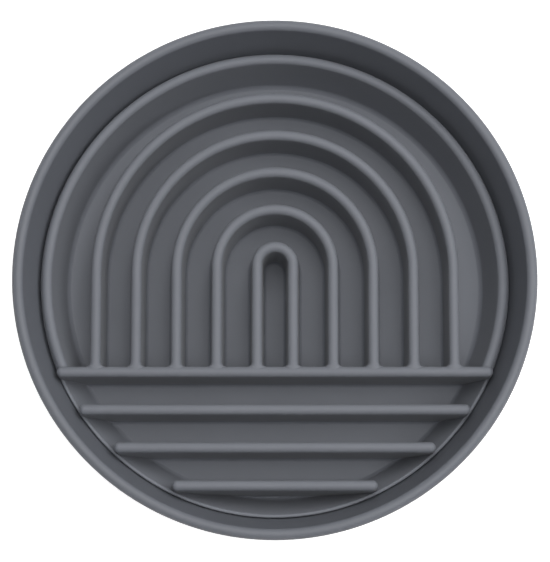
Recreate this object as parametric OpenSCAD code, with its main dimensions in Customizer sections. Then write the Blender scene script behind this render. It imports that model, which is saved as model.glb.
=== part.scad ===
// Slow feeder bowl: a round bowl with a lift-out maze of five nested arches over four straight bars.
// Origin at the middle of the footprint, +Z up, the arches open towards -Y.

/* [Bowl] */
// Diameter across the lip
bowl_d = 210; // [200:1:225]
// Height of the lip above the table
bowl_h = 45; // [43:0.5:52]
// Thickness of the side wall, and of the round lip
wall_t = 4.6; // [3.6:0.1:5.4]
// Lean of the side wall from upright, in degrees
wall_lean = 13; // [9:0.5:16]
// Thickness of the floor over the foot
floor_t = 4; // [3.4:0.1:5]
// Radius of the bend between floor and wall, on the inside
bend_r = 6; // [5:0.5:8]
// Width of the foot that the bowl stands on
foot_w = 22; // [18:0.5:26]
// Depth of the hollow inside the foot
foot_hollow = 1.4; // [0.8:0.1:1.8]

/* [Grip ring] */
// Width of the rubber ring under the foot
grip_w = 8; // [6:0.5:10]
// Height of the ring inside its groove
grip_seat = 1.8; // [1.2:0.1:2.2]
// Height of the ring below the foot
grip_proud = 1; // [0.6:0.1:1.6]
// Rounding of the ring's lower edges
grip_edge_r = 0.6; // [0.2:0.1:0.6]
// Play between the ring and the sides of its groove
grip_play = 0.1; // [0.05:0.05:0.2]

/* [Maze insert] */
// Gap between the insert and the bowl's wall
insert_gap = 0.45; // [0.35:0.05:0.8]
// Thickness of the insert's floor
insert_floor_t = 3; // [2:0.1:4]
// Radius of the insert's lower outside bend
insert_bend_r = 7; // [6.5:0.5:9]
// Thickness of the low edge wall beside the bars, at its top
edge_t = 1.4; // [1.3:0.1:3]
// Lean of that wall's inner face from upright, in degrees
edge_lean = 24; // [20:0.5:27]
// Depth of the edge wall's top below the lip
edge_drop = 21; // [19:0.5:24]
// Rounding along the top of the edge wall
edge_round = 0.6; // [0.3:0.1:0.8]
// Radius of the bend between the insert's floor and its edge wall
edge_root_r = 3; // [2:0.1:4]
// Depth of the top of the ring round the arches below the lip
ring_drop = 15.5; // [14.5:0.5:17]
// Width of the step between that ring and the insert's outer edge
ring_step = 0.95; // [0.85:0.05:1.5]

/* [Ribs] */
// Thickness of a rib under its round top
rib_t = 4.3; // [3.6:0.1:5]
// Depth of the bar tops below the lip
rib_drop = 12; // [10:0.5:14]
// Draft of the rib sides, in degrees
rib_draft = 1.5; // [0.5:0.1:2]
// Radius of the fillet along the foot of a rib
rib_root_r = 1.8; // [1:0.1:2.4]
// Step by which the arch tops lie below the bar tops
arch_step_down = 0.3; // [0.2:0.05:0.6]

/* [Arches] */
// Number of nested arches, less those that the ring round them leaves no room for
arch_count = 5; // [3:1:6]
// Centre-line radius of the innermost arch
arch_r = 7.3; // [6.8:0.1:8.2]
// Distance between neighbouring arches
arch_pitch = 16.25; // [15.4:0.05:16.6]
// Distance of the outermost crown's centre from the middle of the bowl
crown_y = 3; // [0:0.1:5]
// Distance between the centres of neighbouring crowns
crown_step = 0.85; // [0:0.05:1.5]

/* [Bars] */
// Number of bars, less those that the edge wall leaves no room for
bar_count = 4; // [2:1:5]
// Distance of the first bar from the middle of the bowl
bar_y = 37.3; // [34:0.1:38]
// Distance between neighbouring bars
bar_pitch = 15.2; // [14:0.1:15.6]
// Distance of the first bar's tips inside the insert's outer edge
bar_tip_in = 0.2; // [0.1:0.1:1]
// Distance by which each bar's tips stay further inside than the last
bar_tip_step = 0.95; // [0:0.05:1.5]

/* [Hidden] */
$fn = 96;

// Overrun of a cut past what it cuts, and lap of a bend over the corners beside it
overrun = 1;
// Width of the insert's flat floor that is made with the edge wall
edge_lap = 1;
// Angle at which the fillets on the insert's floor meet it
toe_lean = 20;
// Bite of a fillet into the side above it, so that the two cross
root_bite = 0.03;

wall_half = wall_t / 2;
lip_r = bowl_d / 2 - wall_half;
lip_z = bowl_h - wall_half;
bowl_floor_z = grip_proud + floor_t;

maze_z = bowl_floor_z + insert_floor_t;
edge_z = bowl_h - edge_drop;
bar_top_z = bowl_h - rib_drop;
arch_top_z = bar_top_z - arch_step_down;

// Radius, at height z, of a line that runs along the side wall at off outside its middle
function wall_r(z, off) = lip_r + off / cos(wall_lean) - (lip_z - z) * tan(wall_lean);
// Radius of the centre of a bend of radius r that leaves height z and meets such a line
function bend_x(z, r, off) = wall_r(z + r, off) - r / cos(wall_lean);
// Point of a circle of radius r about [x, z] where such a line touches it
function wall_touch(x, z, r) = [x + r * cos(wall_lean), z - r * sin(wall_lean)];
// Point of such a circle where an inner face that leans by lean touches it
function touch_in(x, z, r, lean) = [x - r * cos(lean), z + r * sin(lean)];

// Radius at height z of an inner face, which is given as [radius, height, lean] at one of its points
function face_r(z, face) = face.x - (face.y - z) * tan(face.z);

// Outer face of the insert, and the inner face of its low edge wall
insert_off = -wall_half - insert_gap;
edge_face = [wall_r(edge_z, insert_off) - edge_t, edge_z, edge_lean];

// Ring round the arches: middle of its round top, and the inner face of the wall that it stands on
ring_z = bowl_h - ring_drop - rib_t / 2;
ring_r = wall_r(edge_z, insert_off) - ring_step - rib_t / 2;
ring_in = touch_in(ring_r, ring_z, rib_t / 2, wall_lean);
ring_face = [ring_in.x, ring_in.y, wall_lean];

// Fillets on the insert's floor: height of their centre above it, then for the one by an inner face its centre,
// its foot and the point of that face that it bites into
function toe_z(r) = r * cos(toe_lean);
root_z = maze_z + toe_z(edge_root_r);
function root_x(face) = face_r(root_z, face) - edge_root_r / cos(face.z) + root_bite;
function toe_x(face) = root_x(face) + edge_root_r * sin(toe_lean);
function bitten(face) = let (z = root_z - edge_root_r * sin(face.z)) [face_r(z, face), z];
floor_r = min(toe_x(ring_face), toe_x(edge_face), bend_x(bowl_floor_z, insert_bend_r, insert_off)) - edge_lap;

// Where a rib's round top meets its drafted side, and its half thickness at height y over the insert's floor
function rib_side(top) = [rib_t / 2 * cos(rib_draft), top - maze_z - rib_t / 2 * (1 - sin(rib_draft))];
function rib_half(top, y) = rib_side(top).x + (rib_side(top).y - y) * tan(rib_draft);

// Middle of the fillet beside a rib, where it touches the side, and half the width of the rib's foot
function rib_touch(top) = let (y = toe_z(rib_root_r) - rib_root_r * sin(rib_draft)) [rib_half(top, y), y];
function rib_root(top) = [rib_touch(top).x + rib_root_r * cos(rib_draft) - root_bite, toe_z(rib_root_r)];
function rib_foot(top) = rib_root(top).x - rib_root_r * sin(toe_lean);

// Arches whose feet stay inside the ring's, at the crown and where the legs meet the first bar, and their places
arch_foot = rib_foot(arch_top_z);
leg_end = sqrt(pow(toe_x(ring_face), 2) - pow(bar_y - arch_foot, 2));
arch_room = min(toe_x(ring_face) - crown_y, leg_end) - arch_foot - arch_r;
arches = min(arch_count, 1 + floor(arch_room / arch_pitch));
function arch_radius(i) = arch_r + arch_pitch * (i - 1);
function arch_y(i) = crown_y + crown_step * (arches - i);

// Bars whose sides stay inside the edge wall's top, and their places
bar_room = edge_face.x - rib_t / 2 - bar_y;
bars = min(bar_count, 1 + floor(bar_room / bar_pitch));
function bar_line(i) = bar_y + bar_pitch * (i - 1);
function bar_tip_r(i) = wall_r(edge_z, insert_off) - bar_tip_in - bar_tip_step * (i - 1);
function bar_half(i) = sqrt(pow(bar_tip_r(i), 2) - pow(bar_line(i), 2));

// Corners of a round cup's half section, from its middle out to where the bend meets the wall
function cup_corners(z, r, off) = let (x = bend_x(z, r, off)) [[0, z], [x, z], wall_touch(x, z + r, r)];

// Round slice of the bend that goes with those corners
module cup_bend(z, r, off) {
    half_turn = (90 - wall_lean) / 2;
    translate([bend_x(z, r, off), z + r]) intersection() {
        circle(r);
        rotate(half_turn - 90) translate([r * cos(half_turn) - overrun, -r]) square(2 * r);
    }
}

// Half section of the bowl: thick wall at one lean, round lip, grooved and hollowed foot
module bowl_section() {
    outer_r = bend_r + wall_t;
    lip_out = wall_touch(lip_r, lip_z, wall_half);
    lip_in = touch_in(lip_r, lip_z, wall_half, wall_lean);
    foot_r = bend_x(grip_proud, outer_r, wall_half);
    difference() {
        union() {
            polygon(concat(cup_corners(grip_proud, outer_r, wall_half), [lip_out, lip_in, [0, lip_in.y]]));
            cup_bend(grip_proud, outer_r, wall_half);
        }
        polygon(concat(
            cup_corners(bowl_floor_z, bend_r, -wall_half),
            [lip_in, [lip_in.x, lip_in.y + overrun], [0, lip_in.y + overrun]]
        ));
        cup_bend(bowl_floor_z, bend_r, -wall_half);
        // hollow inside the foot
        translate([0, grip_proud - overrun]) square([foot_r - foot_w, foot_hollow + overrun]);
        // groove for the grip ring
        translate([foot_r - foot_w / 2 - grip_w / 2, grip_proud - overrun]) square([grip_w, grip_seat + overrun]);
    }
    translate([lip_r, lip_z]) circle(wall_half);
}

// Where the edge wall's top bends into its inner face, and where it bends into its outer face
in_corner = [face_r(edge_z - edge_round, edge_face) + edge_round / cos(edge_lean), edge_z - edge_round];
out_corner = [wall_r(edge_z - edge_round, insert_off) - edge_round / cos(wall_lean), edge_z - edge_round];

// Half section of all that lies behind the edge wall's inner face, inside the corners in outer
module behind_edge(outer) {
    difference() {
        polygon(concat(
            [[floor_r, bowl_floor_z]], outer,
            [[in_corner.x, edge_z], touch_in(in_corner.x, in_corner.y, edge_round, edge_lean)],
            [bitten(edge_face), [toe_x(edge_face), maze_z], [floor_r, maze_z]]
        ));
        translate([root_x(edge_face), root_z]) circle(edge_root_r);
    }
    translate(in_corner) circle(edge_round);
}

// The same out to the bowl's lip: what the edge wall takes away from a rib that runs into it
module edge_cut() {
    behind_edge([[lip_r, bowl_floor_z], [lip_r, edge_z]]);
}

// Half section of the insert's edge wall
module edge_section() {
    bottom = cup_corners(bowl_floor_z, insert_bend_r, insert_off);
    behind_edge([
        bottom[1], bottom[2], wall_touch(out_corner.x, out_corner.y, edge_round), [out_corner.x, edge_z]
    ]);
    polygon([[floor_r, bowl_floor_z], bottom[1], [toe_x(edge_face), maze_z], [floor_r, maze_z]]);
    cup_bend(bowl_floor_z, insert_bend_r, insert_off);
    translate(out_corner) circle(edge_round);
}

// Half section of the ring round the arches, which leans on the edge wall and stands up behind its top
module ring_section() {
    r = rib_t / 2;
    side = [ring_r + r * cos(rib_draft), ring_z + r * sin(rib_draft)];
    foot_x = side.x + (side.y - maze_z) * tan(rib_draft);
    difference() {
        polygon([
            [toe_x(ring_face), maze_z], [foot_x, maze_z], side, ring_in, bitten(ring_face)
        ]);
        translate([root_x(ring_face), root_z]) circle(edge_root_r);
        edge_cut();
    }
    translate([ring_r, ring_z]) circle(r);
}

// Section of a rib that stands on the insert's floor: drafted sides, round top, filleted foot
module rib_section(top) {
    side = rib_side(top);
    touch = rib_touch(top);
    root = rib_root(top);
    difference() {
        polygon([[-root.x, 0], [root.x, 0], touch, side, [-side.x, side.y], [-touch.x, touch.y]]);
        for (way = [-1, 1]) translate([way * root.x, root.y]) circle(rib_root_r);
    }
    translate([0, top - maze_z - rib_t / 2]) circle(rib_t / 2);
}

// Right half of that section, turned to make a rib's round end
module rib_half_section(top) {
    intersection() {
        rib_section(top);
        square([arch_pitch, bowl_h]);
    }
}

// Straight part of a bar, and the places of its round ends
module bar_run(i) {
    run = bar_half(i) - rib_t / 2;
    translate([-run, -bar_line(i), maze_z]) rotate([90, 0, 90]) linear_extrude(2 * run) rib_section(bar_top_z);
}
module at_bar_ends(i) {
    for (way = [-1, 1]) translate([way * (bar_half(i) - rib_t / 2), -bar_line(i), maze_z]) children();
}

// One bar with round ends
module whole_bar(i) {
    bar_run(i);
    at_bar_ends(i) rotate_extrude() rib_half_section(bar_top_z);
}

// One bar as it stands over the edge wall
module bar(i) {
    difference() {
        whole_bar(i);
        rotate_extrude() edge_cut();
    }
}

// One arch: a half-round crown and two legs that run into the side of the first bar
module arch(i) {
    leg = arch_y(i) + bar_y;
    difference() {
        translate([0, arch_y(i), maze_z]) {
            rotate_extrude(angle = 180) translate([arch_radius(i), 0]) rib_section(arch_top_z);
            for (way = [-1, 1]) translate([way * arch_radius(i), 0, 0])
                rotate([90, 0, 0]) linear_extrude(leg) rib_section(arch_top_z);
        }
        whole_bar(1);
    }
}

module bowl() {
    color("#6e7277") rotate_extrude() bowl_section();
}

module grip_ring() {
    w = grip_w - 2 * grip_play;
    h = grip_proud + grip_seat;
    mid_r = bend_x(grip_proud, bend_r + wall_t, wall_half) - foot_w / 2;
    color("#3b3e42") rotate_extrude() translate([mid_r - w / 2, 0]) {
        translate([0, grip_edge_r]) square([w, h - grip_edge_r]);
        translate([grip_edge_r, 0]) square([w - 2 * grip_edge_r, h]);
        for (x = [grip_edge_r, w - grip_edge_r]) translate([x, grip_edge_r]) circle(grip_edge_r);
    }
}

module maze_floor() {
    color("#787d83") translate([0, 0, bowl_floor_z]) cylinder(h = insert_floor_t, r = floor_r);
}

module edge_wall() {
    color("#787d83") rotate_extrude() edge_section();
}

module edge_ring() {
    $fn = 80;
    color("#787d83") difference() {
        intersection() {
            rotate_extrude() ring_section();
            translate([-bowl_d / 2, -bar_y, 0]) cube([bowl_d, bowl_d, bowl_h]);
        }
        bar_run(1);
        at_bar_ends(1) cylinder(h = bowl_h, r = rib_half(bar_top_z, edge_z - maze_z));
    }
}

bowl();
grip_ring();
maze_floor();
edge_wall();
edge_ring();
for (i = [1 : arches])
    color("#787d83") arch(i);
for (i = [1 : bars])
    color("#787d83") bar(i);
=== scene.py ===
import math

import bmesh
import bpy
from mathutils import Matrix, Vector


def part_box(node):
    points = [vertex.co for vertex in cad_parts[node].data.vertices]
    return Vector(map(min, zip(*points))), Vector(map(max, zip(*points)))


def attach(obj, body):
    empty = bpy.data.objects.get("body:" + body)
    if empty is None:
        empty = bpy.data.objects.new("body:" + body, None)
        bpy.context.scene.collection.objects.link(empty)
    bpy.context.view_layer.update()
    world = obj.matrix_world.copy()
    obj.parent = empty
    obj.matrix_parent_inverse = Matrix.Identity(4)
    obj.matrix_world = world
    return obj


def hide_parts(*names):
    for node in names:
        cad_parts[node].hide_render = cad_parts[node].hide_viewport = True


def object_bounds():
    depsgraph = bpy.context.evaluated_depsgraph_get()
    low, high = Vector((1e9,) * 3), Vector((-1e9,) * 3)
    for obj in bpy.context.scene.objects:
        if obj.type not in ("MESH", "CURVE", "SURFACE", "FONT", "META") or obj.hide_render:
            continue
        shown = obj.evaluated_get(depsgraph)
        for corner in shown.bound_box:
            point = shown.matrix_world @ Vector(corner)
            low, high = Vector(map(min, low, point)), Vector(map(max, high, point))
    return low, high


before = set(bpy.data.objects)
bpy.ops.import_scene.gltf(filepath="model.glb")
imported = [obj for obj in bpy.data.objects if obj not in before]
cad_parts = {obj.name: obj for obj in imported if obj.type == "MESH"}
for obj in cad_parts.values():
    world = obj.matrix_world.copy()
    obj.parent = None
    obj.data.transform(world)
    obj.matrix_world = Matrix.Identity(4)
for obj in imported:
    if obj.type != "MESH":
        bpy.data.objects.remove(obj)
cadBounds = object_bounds()
mm = 0.001  # sizes here are in millimetres, and Blender works in metres
samePlace = 0.001  # millimetres within which a vertex counts as on a plane
mergeGap = 0.002  # millimetres within which vertices are merged
creaseAngle = 40  # degrees between two faces past which their edge stays sharp


# Turns a colour written as sRGB hex, such as "#6f7279", into Blender's linear numbers
def hexColour(text):
    shares = [int(text[i:i + 2], 16) / 255 for i in (1, 3, 5)]
    return tuple(s / 12.92 if s <= 0.04045 else ((s + 0.055) / 1.055) ** 2.4 for s in shares) + (1.0,)


# Adds one shader node, sets its options and inputs, and links its inputs to other nodes' outputs.
# An input goes by its name, or by its number where several of them share a name.
def addNode(tree, kind, settings=(), links=()):
    node = tree.nodes.new(kind)
    for name, value in dict(settings).items():
        if isinstance(name, int) or name in node.inputs:
            node.inputs[name].default_value = value
        else:
            setattr(node, name, value)
    for name, output in dict(links).items():
        tree.links.new(output, node.inputs[name])
    return node


# Points of an arc in a profile, from one angle to another in degrees
def arc(x, z, radius, start, end, steps):
    turns = [math.radians(start + (end - start) * i / steps) for i in range(steps + 1)]
    return [(x + radius * math.cos(t), z + radius * math.sin(t)) for t in turns]


# Draws a profile as a chain of edges, standing at a place and turned about Z, as by extruding one vertex
def drawProfile(name, profile, place=(0, 0), turn=0):
    away = Vector((math.cos(math.radians(turn)), math.sin(math.radians(turn)), 0))
    points = [Vector((place[0], place[1], z)) + away * x for x, z in profile]
    points = [p * mm for p in points]
    bpy.ops.object.select_all(action="DESELECT")
    bpy.ops.mesh.primitive_plane_add(size=mm, location=(0, 0, 0))
    piece = bpy.context.object
    piece.name = name
    piece.data.name = name
    bpy.ops.object.mode_set(mode="EDIT")
    bpy.ops.mesh.select_mode(type="VERT")
    bpy.ops.mesh.merge(type="CENTER")
    bpy.ops.transform.translate(value=points[0])
    for last, point in zip(points, points[1:]):
        bpy.ops.mesh.extrude_vertices_move(TRANSFORM_OT_translate={"value": point - last})
    return piece


# Spins all that is drawn about a place, anticlockwise from above, and closes the seam and the poles
def spinAll(angle, steps, place=(0, 0)):
    centre = (place[0] * mm, place[1] * mm, 0)
    bpy.ops.mesh.select_all(action="SELECT")
    bpy.ops.mesh.spin(steps=steps, angle=-math.radians(angle), center=centre, axis=(0, 0, 1))
    bpy.ops.mesh.select_all(action="SELECT")
    bpy.ops.mesh.remove_doubles(threshold=mergeGap * mm)


# Selects the vertices of the piece in hand that pass a test of their place in millimetres
def pick(piece, test):
    bpy.ops.mesh.select_all(action="DESELECT")
    mesh = bmesh.from_edit_mesh(piece.data)
    for v in mesh.verts:
        v.select = test(v.co / mm)
    mesh.select_flush(True)
    bmesh.update_edit_mesh(piece.data)


# Joins the two ends of a profile that is an open chain
def closeProfile(piece):
    mesh = bmesh.from_edit_mesh(piece.data)
    ends = [v.index for v in mesh.verts if len(v.link_edges) == 1]
    bpy.ops.mesh.select_all(action="DESELECT")
    mesh.verts.ensure_lookup_table()
    for i in ends:
        mesh.verts[i].select = True
    bmesh.update_edit_mesh(piece.data)
    bpy.ops.mesh.edge_face_add()


# Fills the open ends of the piece in hand
def capEnds():
    bpy.ops.mesh.select_all(action="DESELECT")
    bpy.ops.mesh.select_non_manifold()
    bpy.ops.mesh.edge_face_add()


# Turns the faces outwards and leaves edit mode
def closeEdit():
    bpy.ops.mesh.select_all(action="SELECT")
    bpy.ops.mesh.normals_make_consistent(inside=False)
    bpy.ops.object.mode_set(mode="OBJECT")


# Leaves edit mode, shades the piece smooth and hands it to the frame
def finishPiece(piece, material, slot, body, *nodes):
    closeEdit()
    bpy.ops.object.shade_smooth_by_angle(angle=math.radians(creaseAngle))
    bpy.ops.object.modifier_add(type="WEIGHTED_NORMAL")  # keeps broad faces flat beside small rounds
    piece.modifiers[-1].keep_sharp = True
    bpy.ops.object.modifier_apply(modifier=piece.modifiers[-1].name)
    piece.data.materials.append(material)
    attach(piece, body)
    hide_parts(*nodes)
    print("made", piece.name, len(piece.data.polygons), "faces")


# The stage: a pale floor that curves up into a wall far away, soft lamps, and a camera above the bowl
stage = {
    "floorRadius": 3000,
    "floorGap": 0.1,  # the floor lies this far under the bowl, so that their faces don't fight
    "floorColour": "#e9e9e8",
    "floorGlow": 0.85,  # seen by the camera and in reflections alone, and lifts the floor to white
    "glowColour": "#ffffff",
    "coveBend": 900,
    "coveBendSteps": 12,
    "coveHigh": 2600,
    "coveSteps": 96,
    "worldColour": "#ffffff",
    "worldStrength": 0.02,
    "lampColour": "#ffffff",
    "lampAim": (0, 0, 20),
    "overheadPlace": (300, 200, 1300),
    "overheadWide": 1700,
    "overheadPower": 24,  # watts
    "rightPlace": (1000, 100, 900),
    "rightWide": 320,
    "rightPower": 1.6,
    "cameraDistance": 900,  # from the middle of the lip
    "cameraTilt": 8.7,  # degrees off straight down, towards the bars
    "lipPixels": 263.5,  # radius of the lip in the picture
    "lipPixelX": 274.8,  # middle of the lip in the picture, from its left side
    "lipPixelY": 275,  # and from its top
    "pixelsWide": 550,
    "pixelsHigh": 562,
    "sensorWide": 36,
    "clipNear": 10,
    "clipFar": 20000,
}


# Seamless paper: dead matt, so it takes a soft shadow and mirrors nothing
def makePaper():
    paper = bpy.data.materials.new("matt white paper")
    paper.use_nodes = True
    tree = paper.node_tree
    tree.nodes.clear()
    rays = addNode(tree, "ShaderNodeLightPath").outputs
    seen = addNode(tree, "ShaderNodeMath", {"operation": "MAXIMUM"},
                   {0: rays["Is Camera Ray"], 1: rays["Is Glossy Ray"]})
    shown = addNode(tree, "ShaderNodeMath", {"operation": "MAXIMUM"},
                    {0: seen.outputs[0], 1: rays["Is Transmission Ray"]})
    strength = addNode(tree, "ShaderNodeMath", {"operation": "MULTIPLY", 1: stage["floorGlow"]},
                       {0: shown.outputs[0]})
    matt = addNode(tree, "ShaderNodeBsdfDiffuse", {"Color": hexColour(stage["floorColour"])})
    glow = addNode(tree, "ShaderNodeEmission", {"Color": hexColour(stage["glowColour"])},
                   {"Strength": strength.outputs[0]})
    both = addNode(tree, "ShaderNodeAddShader", {}, {0: matt.outputs[0], 1: glow.outputs[0]})
    addNode(tree, "ShaderNodeOutputMaterial", {}, {"Surface": both.outputs[0]})
    return paper


def makeFloor():
    low = cadBounds[0][2] / mm - stage["floorGap"]
    bend = stage["coveBend"]
    profile = [(0, low)]
    profile += arc(stage["floorRadius"] - bend, low + bend, bend, -90, 0, stage["coveBendSteps"])
    profile += [(stage["floorRadius"], low + stage["coveHigh"])]
    floor = drawProfile("paleFloor", profile)
    spinAll(360, stage["coveSteps"])
    bpy.ops.object.mode_set(mode="OBJECT")
    bpy.ops.object.shade_smooth()
    floor.data.materials.append(makePaper())


def makeWorld():
    world = bpy.data.worlds.new("soft white room")
    bpy.context.scene.world = world
    world.use_nodes = True
    back = world.node_tree.nodes["Background"]
    back.inputs["Color"].default_value = hexColour(stage["worldColour"])
    back.inputs["Strength"].default_value = stage["worldStrength"]


def makeLamp(name, place, wide, power):
    data = bpy.data.lights.new(name, "AREA")
    data.shape = "DISK"
    data.size = wide * mm
    data.energy = power
    data.color = hexColour(stage["lampColour"])[:3]
    lamp = bpy.data.objects.new(name, data)
    bpy.context.scene.collection.objects.link(lamp)
    lamp.location = Vector(place) * mm
    sight = Vector(stage["lampAim"]) * mm - lamp.location
    lamp.rotation_euler = sight.to_track_quat("-Z", "Y").to_euler()


def makeCamera(lipZ, lipRadius):
    tilt = math.radians(stage["cameraTilt"])
    away = stage["cameraDistance"]
    data = bpy.data.cameras.new("cameraOverBowl")
    camera = bpy.data.objects.new("cameraOverBowl", data)
    bpy.context.scene.collection.objects.link(camera)
    middle = Vector((0, 0, lipZ))
    camera.location = (middle + Vector((0, -math.sin(tilt), math.cos(tilt))) * away) * mm
    camera.rotation_euler = (tilt, 0, 0)
    data.sensor_fit = "HORIZONTAL"
    data.sensor_width = stage["sensorWide"]
    data.lens = stage["sensorWide"] * stage["lipPixels"] / lipRadius * away / stage["pixelsWide"]
    data.shift_x = (stage["pixelsWide"] / 2 - stage["lipPixelX"]) / stage["pixelsWide"]
    data.shift_y = (stage["lipPixelY"] - stage["pixelsHigh"] / 2) / stage["pixelsWide"]
    data.clip_start = stage["clipNear"] * mm
    data.clip_end = stage["clipFar"] * mm
    bpy.context.scene.camera = camera


bpy.context.scene.view_settings.view_transform = "Standard"
bowlLow, bowlHigh = (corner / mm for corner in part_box("bowl"))
makeCamera(bowlHigh.z, bowlHigh.x)
makeFloor()
makeWorld()
makeLamp("softboxOverhead", stage["overheadPlace"], stage["overheadWide"], stage["overheadPower"])
makeLamp("softboxRight", stage["rightPlace"], stage["rightWide"], stage["rightPower"])
print("stage ready")


# Moulded silicone rubber: matt from its sand-blasted mould, with a faint bloom of dust on the tops.
# The mould's grain is about 0.1 mm, too fine for the render, so it is drawn 0.5 mm wide.
silicone = {
    "colour": "#74777e",
    "cloudColour": "#6f7279",
    "roughness": 0.56,
    "ior": 1.41,
    "cloudWide": 28,
    "grainWide": 0.5,
    "grainDeep": 0.02,
    "sheen": 0.08,
}

# Injection-moulded polypropylene with a fine spark-eroded texture: a little harder, with a soft wide
# highlight. The texture is about 0.1 mm too, and is drawn 0.4 mm wide.
polypropylene = {
    "colour": "#6e7178",
    "cloudColour": "#696c73",
    "roughness": 0.5,
    "ior": 1.49,
    "cloudWide": 40,
    "grainWide": 0.4,
    "grainDeep": 0.015,
    "sheen": 0.0,
}

# Moulded soft grip rubber: nearly black, and dull because its mould is left rough. The grain is about
# 0.2 mm, and is drawn 0.8 mm wide so that it shows.
gripRubber = {
    "colour": "#33363a",
    "cloudColour": "#2c2f33",
    "roughness": 0.72,
    "ior": 1.52,
    "cloudWide": 15,
    "grainWide": 0.8,
    "grainDeep": 0.03,
    "sheen": 0.05,
}

# What all moulded surfaces here share: clouds in tone and shine, and the mould's grain as a bump
moulded = {
    "cloudDetail": 4.0,
    "cloudRoughness": 0.6,
    "grainDetail": 2.0,
    "grainRoughness": 0.5,
    "grainStrength": 0.6,
    "shineSpread": 0.05,  # roughness goes up and down by this much with the clouds
    "specular": 0.35,
    "sheenRoughness": 0.5,
}


def makeMoulded(name, look):
    material = bpy.data.materials.new(name)
    material.use_nodes = True
    tree = material.node_tree
    tree.nodes.clear()
    place = addNode(tree, "ShaderNodeTexCoord").outputs["Object"]
    clouds = addNode(tree, "ShaderNodeTexNoise", {
        "Scale": 1 / (look["cloudWide"] * mm),
        "Detail": moulded["cloudDetail"],
        "Roughness": moulded["cloudRoughness"],
    }, {"Vector": place}).outputs["Fac"]
    grain = addNode(tree, "ShaderNodeTexNoise", {
        "Scale": 1 / (look["grainWide"] * mm),
        "Detail": moulded["grainDetail"],
        "Roughness": moulded["grainRoughness"],
    }, {"Vector": place}).outputs["Fac"]
    tone = addNode(tree, "ShaderNodeMix", {
        "data_type": "RGBA",
        6: hexColour(look["colour"]),
        7: hexColour(look["cloudColour"]),
    }, {0: clouds})
    shine = addNode(tree, "ShaderNodeMapRange", {
        "To Min": look["roughness"] - moulded["shineSpread"],
        "To Max": look["roughness"] + moulded["shineSpread"],
    }, {"Value": clouds})
    bump = addNode(tree, "ShaderNodeBump", {
        "Strength": moulded["grainStrength"],
        "Distance": look["grainDeep"] * mm,
    }, {"Height": grain})
    surface = addNode(tree, "ShaderNodeBsdfPrincipled", {
        "IOR": look["ior"],
        "Specular IOR Level": moulded["specular"],
        "Sheen Weight": look["sheen"],
        "Sheen Roughness": moulded["sheenRoughness"],
    }, {
        "Base Color": tone.outputs[2],
        "Roughness": shine.outputs["Result"],
        "Normal": bump.outputs[0],
    })
    addNode(tree, "ShaderNodeOutputMaterial", {}, {"Surface": surface.outputs[0]})
    return material


insertSilicone = makeMoulded("moulded silicone rubber", silicone)
bowlPlastic = makeMoulded("moulded polypropylene", polypropylene)
gripFinish = makeMoulded("grip rubber", gripRubber)
print("materials ready")


# The outer bowl, which the insert lies in
bowl = {
    "wallThick": 4.6,
    "wallLean": 13,  # degrees from upright
    "floorThick": 4,
    "innerBend": 6,
    "innerBendSteps": 10,
    "outerBendSteps": 14,
    "lipSteps": 20,
    "footWide": 22,
    "footHollow": 1.4,
    "footSoft": 0.5,  # rounding of the foot's inner corners
    "footSoftSteps": 4,
    "grooveWide": 8,
    "grooveDeep": 1.8,
    "spinSteps": 192,
}
leanCos = math.cos(math.radians(bowl["wallLean"]))
leanTan = math.tan(math.radians(bowl["wallLean"]))
wallHalf = bowl["wallThick"] / 2
lipRadius = bowlHigh.x - wallHalf
lipMiddle = bowlHigh.z - wallHalf
footZ = bowlLow.z
bowlFloorZ = footZ + bowl["floorThick"]


# Radius, at height z, of a line that runs along the side wall, off millimetres outside its middle
def wallRadius(z, off):
    return lipRadius + off / leanCos - (lipMiddle - z) * leanTan


# Radius at which a bend has its middle, where it leaves the level z and meets such a line
def bendRadius(z, radius, off):
    return wallRadius(z + radius, off) - radius / leanCos


# Radius of the middle of the foot, where the grip ring sits
def footMiddle():
    return bendRadius(footZ, bowl["innerBend"] + bowl["wallThick"], wallHalf) - bowl["footWide"] / 2


def makeBowl():
    outerBend = bowl["innerBend"] + bowl["wallThick"]
    footRadius = bendRadius(footZ, outerBend, wallHalf)
    hollowRadius = footRadius - bowl["footWide"]
    hollowZ = footZ + bowl["footHollow"]
    soft, softSteps = bowl["footSoft"], bowl["footSoftSteps"]
    grooveIn = footMiddle() - bowl["grooveWide"] / 2
    grooveOut = footMiddle() + bowl["grooveWide"] / 2
    grooveTop = footZ + bowl["grooveDeep"]
    innerBend = bowl["innerBend"]
    innerMiddle = bendRadius(bowlFloorZ, innerBend, -wallHalf)
    lean = bowl["wallLean"]
    profile = [(0, hollowZ)]
    profile += arc(hollowRadius - soft, hollowZ - soft, soft, 90, 0, softSteps)
    profile += arc(hollowRadius + soft, footZ + soft, soft, 180, 270, softSteps)
    profile += [(grooveIn, footZ), (grooveIn, grooveTop), (grooveOut, grooveTop), (grooveOut, footZ)]
    profile += arc(footRadius, footZ + outerBend, outerBend, -90, -lean, bowl["outerBendSteps"])
    profile += arc(lipRadius, lipMiddle, wallHalf, -lean, 180 - lean, bowl["lipSteps"])
    profile += arc(innerMiddle, bowlFloorZ + innerBend, innerBend, -lean, -90, bowl["innerBendSteps"])
    profile += [(0, bowlFloorZ)]
    piece = drawProfile("bowlShell", profile)
    spinAll(360, bowl["spinSteps"])
    finishPiece(piece, bowlPlastic, "bowl_plastic", "bowl", "bowl")


makeBowl()


# The grip ring under the foot
grip = {
    "edgeRound": 0.6,
    "edgeSteps": 5,
    "spinSteps": 160,
}


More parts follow.
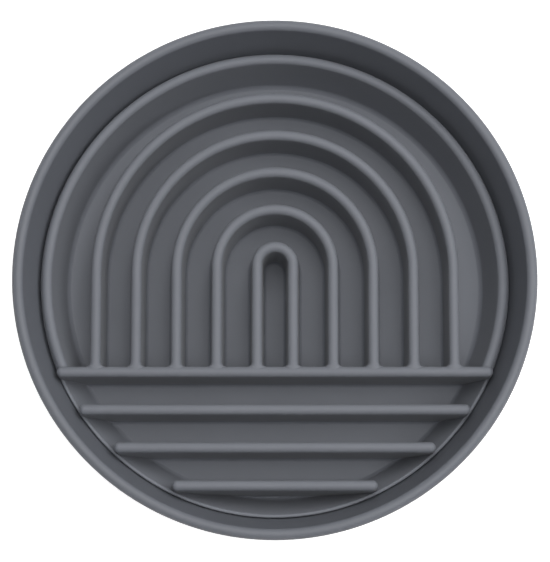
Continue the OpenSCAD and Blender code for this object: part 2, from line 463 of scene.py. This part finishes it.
def makeGripRing():
    low, high = (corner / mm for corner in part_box("grip_ring"))
    outer = high.x
    inner = 2 * footMiddle() - outer
    soft, steps = grip["edgeRound"], grip["edgeSteps"]
    profile = [(inner, high.z)]
    profile += arc(inner + soft, low.z + soft, soft, 180, 270, steps)
    profile += arc(outer - soft, low.z + soft, soft, 270, 360, steps)
    profile += [(outer, high.z), (inner, high.z)]
    piece = drawProfile("gripRing", profile)
    spinAll(360, grip["spinSteps"])
    finishPiece(piece, gripFinish, "grip_rubber", "bowl", "grip_ring")


makeGripRing()


# The maze insert: tray, ring, arches and bars, moulded in one
insert = {
    "gap": 0.45,  # to the bowl's wall
    "outerBend": 7,
    "outerBendSteps": 10,
    "edgeThick": 1.4,  # of the edge wall at its top
    "edgeLean": 24,  # degrees from upright, of the edge wall's inner face
    "edgeRound": 0.6,
    "edgeSteps": 6,
    "rootRound": 3,  # fillet between floor and edge wall
    "rootSteps": 7,
    "ringStep": 0.95,  # from the edge wall's outer face in to the ring's, at the wall's top
    "ringTopSteps": 14,
    "ringPast": 28,  # degrees that the ring runs on past its half turn, before its ends are cut
    "ribThick": 4.3,
    "ribDraft": 1.5,  # degrees
    "ribRoot": 1.8,  # fillet along the foot of a rib
    "ribTopSteps": 9,
    "toeLean": 20,  # degrees at which the fillets meet the floor
    "sink": 1,  # depth by which the ribs' feet go into the floor
    "archCount": 5,
    "archTurn": 180,
    "archSteps": 24,  # of the half turn, and one more for each millimetre of its radius
    "legFlare": 1.5,  # fillet where a leg meets the first bar
    "flareSteps": 5,
    "barCount": 4,
    "barSeam": 0.02,  # half the width of the seam along the middle of a bar's top
    "barEndSteps": 46,
    "trimDeep": 0.8,  # depth inside the edge wall at which the bars are trimmed
    "spinSteps": 192,
}
ribHalf = insert["ribThick"] / 2
insertOff = -wallHalf - insert["gap"]
floorLow, floorHigh = (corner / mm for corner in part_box("maze_floor"))
mazeZ = floorHigh.z
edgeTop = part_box("edge_wall")[1].z / mm
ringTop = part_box("edge_ring")[1].z / mm
rootZ = mazeZ + insert["rootRound"] * math.cos(math.radians(insert["toeLean"]))
edgeCos = math.cos(math.radians(insert["edgeLean"]))
edgeTan = math.tan(math.radians(insert["edgeLean"]))


# Radius of the edge wall's inner face at a height
def edgeRadius(z):
    return wallRadius(edgeTop, insertOff) - insert["edgeThick"] - (edgeTop - z) * edgeTan


# Floor and edge wall in one, from the middle of the underside round to the middle of the floor
def makeTray():
    lean, slope = bowl["wallLean"], insert["edgeLean"]
    bend, soft, root = insert["outerBend"], insert["edgeRound"], insert["rootRound"]
    bendMiddle = bendRadius(floorLow.z, bend, insertOff)
    softZ = edgeTop - soft
    softOut = wallRadius(softZ, insertOff) - soft / leanCos
    softIn = edgeRadius(softZ) + soft / edgeCos
    rootMiddle = edgeRadius(rootZ) - root / edgeCos
    profile = [(0, floorLow.z)]
    profile += arc(bendMiddle, floorLow.z + bend, bend, -90, -lean, insert["outerBendSteps"])
    profile += arc(softOut, softZ, soft, -lean, 90, insert["edgeSteps"])
    profile += arc(softIn, softZ, soft, 90, 180 - slope, insert["edgeSteps"])
    profile += arc(rootMiddle, rootZ, root, -slope, insert["toeLean"] - 90, insert["rootSteps"])
    profile += [(0, mazeZ)]
    piece = drawProfile("mazeTray", profile)
    spinAll(360, insert["spinSteps"])
    finishPiece(piece, insertSilicone, "insert_silicone", "maze_insert", "maze_floor", "edge_wall")


# Half a rib's thickness at a height, under its round top
def ribHalfAt(top, z):
    draft = math.radians(insert["ribDraft"])
    return ribHalf * math.cos(draft) + (top - ribHalf * (1 - math.sin(draft)) - z) * math.tan(draft)


# Points up the right side of a rib, from its foot on the insert's floor to the middle of its round top
def ribSide(top):
    draft = insert["ribDraft"]
    root = insert["ribRoot"]
    filletZ = mazeZ + root * math.cos(math.radians(insert["toeLean"]))
    touchZ = filletZ - root * math.sin(math.radians(draft))
    filletX = ribHalfAt(top, touchZ) + root * math.cos(math.radians(draft))
    side = arc(filletX, filletZ, root, 270 - insert["toeLean"], 180 + draft, insert["rootSteps"])
    return side + arc(0, top - ribHalf, ribHalf, draft, 90, insert["ribTopSteps"])


# A ring of all that lies inside the edge wall and behind it, which trims the bars' feet
def makeTrimmer():
    deep = insert["trimDeep"]
    low, high = mazeZ - 2 * insert["sink"], edgeTop - deep
    profile = [(edgeRadius(low) + deep, low), (bowlHigh.x, low), (bowlHigh.x, high)]
    profile += [(edgeRadius(high) + deep, high)]
    piece = drawProfile("trimmer", profile)
    closeProfile(piece)
    spinAll(360, insert["spinSteps"])
    closeEdit()
    return piece


# A bar: a round post, spun about its own middle, pulled apart into a long rib with round ends
def makeBar(number, trimmer):
    node = f"bar_{number}"
    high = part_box(node)[1] / mm
    half = ribSide(high.z)
    foot = half[0][0]
    line = high.y - foot
    run = high.x - ribHalfAt(high.z, edgeTop)
    seam = insert["barSeam"]
    half[-1] = (seam, high.z)
    half = [(seam, mazeZ - insert["sink"]), (foot, mazeZ - insert["sink"])] + half
    piece = drawProfile(f"barRib{number}", half, place=(0, line))
    spinAll(360, insert["barEndSteps"], place=(0, line))
    for way in (1, -1):
        pick(piece, lambda p: p.x * way > 0)
        bpy.ops.transform.translate(value=(way * run * mm, 0, 0))
    capEnds()
    closeEdit()
    bpy.ops.object.modifier_add(type="BOOLEAN")
    piece.modifiers[-1].object = trimmer
    bpy.ops.object.modifier_apply(modifier=piece.modifiers[-1].name)
    bpy.ops.object.mode_set(mode="EDIT")
    finishPiece(piece, insertSilicone, "insert_silicone", "maze_insert", node)


# An arch: half a turn of the rib's section, with two legs that run on and flare into the first bar's side
def makeArch(number):
    node = f"arch_{number}"
    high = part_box(node)[1] / mm
    side = ribSide(high.z)
    foot = side[0][0]
    radius = high.x - foot
    crownY = high.y - high.x
    section = [(foot, mazeZ - insert["sink"])] + side
    section += [(-x, z) for x, z in reversed(side[:-1])] + [(-foot, mazeZ - insert["sink"])]
    piece = drawProfile(f"archRib{number}", section, place=(radius, crownY))
    closeProfile(piece)
    spinAll(insert["archTurn"], round(insert["archSteps"] + radius), place=(0, crownY))
    flare = insert["legFlare"]
    straight = crownY - firstBarFace - flare
    pick(piece, lambda p: abs(p.y - crownY) < samePlace)
    bpy.ops.mesh.extrude_region_move(TRANSFORM_OT_translate={"value": (0, -straight * mm, 0)})
    steps = insert["flareSteps"]
    wide, y = 1.0, crownY - straight
    for i in range(1, steps + 1):
        turn = math.radians(90 * i / steps)
        nextWide = 1 + flare * (1 - math.cos(turn)) / ribHalf
        nextY = firstBarFace + flare - flare * math.sin(turn)
        pick(piece, lambda p: abs(p.y - y) < samePlace)
        bpy.ops.mesh.extrude_region_move(TRANSFORM_OT_translate={"value": (0, (nextY - y) * mm, 0)})
        for way in (1, -1):
            pick(piece, lambda p: abs(p.y - nextY) < samePlace and p.x * way > 0)
            middle = (way * radius * mm, nextY * mm, 0)
            bpy.ops.transform.resize(value=(nextWide / wide, 1, 1), center_override=middle)
        wide, y = nextWide, nextY
    pick(piece, lambda p: abs(p.y - y) < samePlace)
    bpy.ops.mesh.extrude_region_move(TRANSFORM_OT_translate={"value": (0, (firstBarLine - y) * mm, 0)})
    capEnds()
    finishPiece(piece, insertSilicone, "insert_silicone", "maze_insert", node)


# The ring round the arches: it leans on the edge wall, and both its ends run into the first bar's tips
def makeRing():
    lean = bowl["wallLean"]
    root = insert["rootRound"]
    ringRadius = wallRadius(edgeTop, insertOff) - insert["ringStep"] - ribHalf
    middle = ringTop - ribHalf
    faceX = ringRadius - ribHalf * leanCos
    faceZ = middle + ribHalf * math.sin(math.radians(lean))
    ringOff = (faceX - wallRadius(faceZ, 0)) * leanCos
    rootMiddle = wallRadius(rootZ, ringOff) - root / leanCos
    low = mazeZ - insert["sink"]
    profile = arc(ringRadius, middle, ribHalf, insert["ribDraft"], 180 - lean, insert["ringTopSteps"])
    profile += arc(rootMiddle, rootZ, root, -lean, insert["toeLean"] - 90, insert["rootSteps"])
    profile += [(profile[-1][0], low), (edgeRadius(low) + insert["trimDeep"], low)]
    profile += [(profile[0][0], edgeTop - insert["sink"])]
    piece = drawProfile("mazeRing", profile, turn=-insert["ringPast"])
    closeProfile(piece)
    spinAll(180 + 2 * insert["ringPast"], insert["spinSteps"])
    capEnds()
    bpy.ops.mesh.select_all(action="SELECT")
    bpy.ops.mesh.bisect(plane_co=(0, firstBarLine * mm, 0), plane_no=(0, -1, 0),
                        clear_outer=True, use_fill=True)
    finishPiece(piece, insertSilicone, "insert_silicone", "maze_insert", "edge_ring")


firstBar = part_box("bar_1")[1] / mm
firstBarLine = firstBar.y - ribSide(firstBar.z)[0][0]
firstBarFace = firstBarLine + ribHalfAt(firstBar.z, edgeTop)

makeTray()
makeRing()
for number in range(1, insert["archCount"] + 1):
    makeArch(number)
trimmer = makeTrimmer()
for number in range(1, insert["barCount"] + 1):
    makeBar(number, trimmer)
bpy.data.objects.remove(trimmer)
print("maze insert ready")
